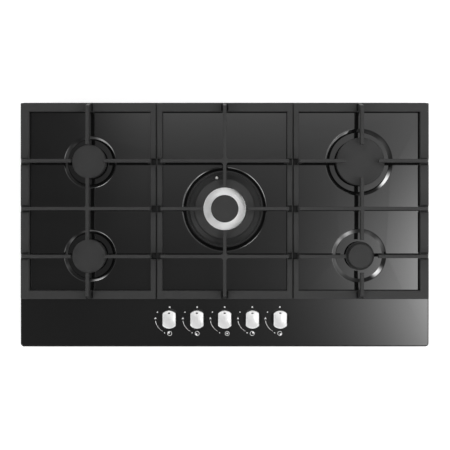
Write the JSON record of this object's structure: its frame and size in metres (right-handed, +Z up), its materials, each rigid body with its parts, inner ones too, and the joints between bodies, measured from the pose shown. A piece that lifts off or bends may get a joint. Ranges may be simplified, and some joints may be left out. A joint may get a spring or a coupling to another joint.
{
  "type": "gas cooktop",
  "caption": "Built-in gas cooktop with a black steel panel, cast iron pan supports, lift-off burners, a wok burner and push-and-turn knobs.",
  "frame": {"origin": "middle of the burner box's underside, which is the middle of the bounding box's bottom", "axes": "+X to the user's right, +Y to the back, away from the knobs, +Z up"},
  "size_m": [0.86, 0.514, 0.102],
  "materials": {
    "panel_enamel": "glossy black enamel on pressed steel",
    "seal_rubber": "black rubber",
    "casing_steel": "galvanised sheet steel",
    "fastener_steel": "zinc plated steel",
    "cup_aluminium": "die cast, as cast",
    "crown_aluminium": "die cast, darkened",
    "bright_aluminium": "turned bright",
    "cap_enamel": "matt black enamel",
    "support_iron": "matt black enamel on cast iron",
    "injector_brass": "machined",
    "electrode_ceramic": "white ceramic",
    "probe_metal": "machined",
    "gas_pipe": "drawn tube",
    "fitting_brass": "machined",
    "tap_aluminium": "die cast",
    "spindle_steel": "turned",
    "knob_silver": "metallised satin silver",
    "electrical_plastic": "moulded"
  },
  "bodies": {
    "hob": {"top_panel": "panel_enamel", "worktop_seal": "seal_rubber", "knob_seals": "seal_rubber", "burner_box": "casing_steel", "fixing_clamps": "casing_steel", "backing_plates": "casing_steel", "box_nuts": "fastener_steel", "screws": "fastener_steel", "cup_rear_left": "cup_aluminium", "cup_front_left": "cup_aluminium", "cup_rear_right": "cup_aluminium", "cup_front_right": "cup_aluminium", "cup_wok": "cup_aluminium", "injectors": "injector_brass", "electrodes": "electrode_ceramic", "thermocouples": "probe_metal", "safety_magnets": "probe_metal", "gas_rail": "gas_pipe", "supply_pipes": "gas_pipe", "inlet_elbow": "fitting_brass", "pipe_nuts": "fitting_brass", "tap_bodies": "tap_aluminium", "tap_covers": "tap_aluminium", "ignition_switches": "electrical_plastic", "spark_generator": "electrical_plastic", "terminal_block": "electrical_plastic", "cord_bushing": "electrical_plastic"},
    "crown_rear_left": {"crown_rear_left": "crown_aluminium"},
    "cap_rear_left": {"cap_rear_left": "cap_enamel"},
    "crown_front_left": {"crown_front_left": "crown_aluminium"},
    "cap_front_left": {"cap_front_left": "cap_enamel"},
    "crown_rear_right": {"crown_rear_right": "crown_aluminium"},
    "cap_rear_right": {"cap_rear_right": "cap_enamel"},
    "crown_front_right": {"crown_front_right": "crown_aluminium"},
    "cap_front_right": {"cap_front_right": "cap_enamel"},
    "crown_wok": {"crown_wok": "crown_aluminium", "inner_crown_wok": "bright_aluminium"},
    "cap_wok": {"cap_wok": "cap_enamel"},
    "inner_cap_wok": {"inner_cap_wok": "cap_enamel"},
    "plug_1": {"tap_plug_1": "fitting_brass"},
    "knob_1": {"spindle_1": "spindle_steel", "knob_1": "knob_silver"},
    "plug_2": {"tap_plug_2": "fitting_brass"},
    "knob_2": {"spindle_2": "spindle_steel", "knob_2": "knob_silver"},
    "plug_3": {"tap_plug_3": "fitting_brass"},
    "knob_3": {"spindle_3": "spindle_steel", "knob_3": "knob_silver"},
    "plug_4": {"tap_plug_4": "fitting_brass"},
    "knob_4": {"spindle_4": "spindle_steel", "knob_4": "knob_silver"},
    "plug_5": {"tap_plug_5": "fitting_brass"},
    "knob_5": {"spindle_5": "spindle_steel", "knob_5": "knob_silver"},
    "support_left": {"pan_support_left": "support_iron", "feet_left": "seal_rubber"},
    "support_centre": {"pan_support_centre": "support_iron", "feet_centre": "seal_rubber"},
    "support_right": {"pan_support_right": "support_iron", "feet_right": "seal_rubber"}
  },
  "joints": [
    {"name": "crown_rear_left_lift", "type": "slide", "parent": "hob", "child": "crown_rear_left", "axis": [0, 0, 1], "range_m": [0, 0.004]},
    {"name": "cap_rear_left_lift", "type": "slide", "parent": "crown_rear_left", "child": "cap_rear_left", "axis": [0, 0, 1], "range_m": [0, 0.004]},
    {"name": "crown_front_left_lift", "type": "slide", "parent": "hob", "child": "crown_front_left", "axis": [0, 0, 1], "range_m": [0, 0.004]},
    {"name": "cap_front_left_lift", "type": "slide", "parent": "crown_front_left", "child": "cap_front_left", "axis": [0, 0, 1], "range_m": [0, 0.004]},
    {"name": "crown_rear_right_lift", "type": "slide", "parent": "hob", "child": "crown_rear_right", "axis": [0, 0, 1], "range_m": [0, 0.004]},
    {"name": "cap_rear_right_lift", "type": "slide", "parent": "crown_rear_right", "child": "cap_rear_right", "axis": [0, 0, 1], "range_m": [0, 0.004]},
    {"name": "crown_front_right_lift", "type": "slide", "parent": "hob", "child": "crown_front_right", "axis": [0, 0, 1], "range_m": [0, 0.004]},
    {"name": "cap_front_right_lift", "type": "slide", "parent": "crown_front_right", "child": "cap_front_right", "axis": [0, 0, 1], "range_m": [0, 0.004]},
    {"name": "crown_wok_lift", "type": "slide", "parent": "hob", "child": "crown_wok", "axis": [0, 0, 1], "range_m": [0, 0.003]},
    {"name": "cap_wok_lift", "type": "slide", "parent": "crown_wok", "child": "cap_wok", "axis": [0, 0, 1], "range_m": [0, 0.003]},
    {"name": "inner_cap_wok_lift", "type": "slide", "parent": "crown_wok", "child": "inner_cap_wok", "axis": [0, 0, 1], "range_m": [0, 0.004]},
    {"name": "knob_1_turn", "type": "hinge", "parent": "hob", "child": "plug_1", "pos_m": [-0.116, -0.198, 0.027], "axis": [0, 0, 1], "range_deg": [0, 160]},
    {"name": "knob_1_push", "type": "slide", "parent": "plug_1", "child": "knob_1", "axis": [0, 0, -1], "range_m": [0, 0.0045], "stiffness_N_per_m": 800, "springref_m": -0.005},
    {"name": "knob_2_turn", "type": "hinge", "parent": "hob", "child": "plug_2", "pos_m": [-0.058, -0.198, 0.027], "axis": [0, 0, 1], "range_deg": [0, 160]},
    {"name": "knob_2_push", "type": "slide", "parent": "plug_2", "child": "knob_2", "axis": [0, 0, -1], "range_m": [0, 0.0045], "stiffness_N_per_m": 800, "springref_m": -0.005},
    {"name": "knob_3_turn", "type": "hinge", "parent": "hob", "child": "plug_3", "pos_m": [0, -0.198, 0.027], "axis": [0, 0, 1], "range_deg": [0, 160]},
    {"name": "knob_3_push", "type": "slide", "parent": "plug_3", "child": "knob_3", "axis": [0, 0, -1], "range_m": [0, 0.0045], "stiffness_N_per_m": 800, "springref_m": -0.005},
    {"name": "knob_4_turn", "type": "hinge", "parent": "hob", "child": "plug_4", "pos_m": [0.058, -0.198, 0.027], "axis": [0, 0, 1], "range_deg": [0, 160]},
    {"name": "knob_4_push", "type": "slide", "parent": "plug_4", "child": "knob_4", "axis": [0, 0, -1], "range_m": [0, 0.0045], "stiffness_N_per_m": 800, "springref_m": -0.005},
    {"name": "knob_5_turn", "type": "hinge", "parent": "hob", "child": "plug_5", "pos_m": [0.116, -0.198, 0.027], "axis": [0, 0, 1], "range_deg": [0, 160]},
    {"name": "knob_5_push", "type": "slide", "parent": "plug_5", "child": "knob_5", "axis": [0, 0, -1], "range_m": [0, 0.0045], "stiffness_N_per_m": 800, "springref_m": -0.005},
    {"name": "support_left_lift", "type": "slide", "parent": "hob", "child": "support_left", "axis": [0, 0, 1], "range_m": [0, 0.06]},
    {"name": "support_centre_lift", "type": "slide", "parent": "hob", "child": "support_centre", "axis": [0, 0, 1], "range_m": [0, 0.06]},
    {"name": "support_right_lift", "type": "slide", "parent": "hob", "child": "support_right", "axis": [0, 0, 1], "range_m": [0, 0.06]}
  ]
}
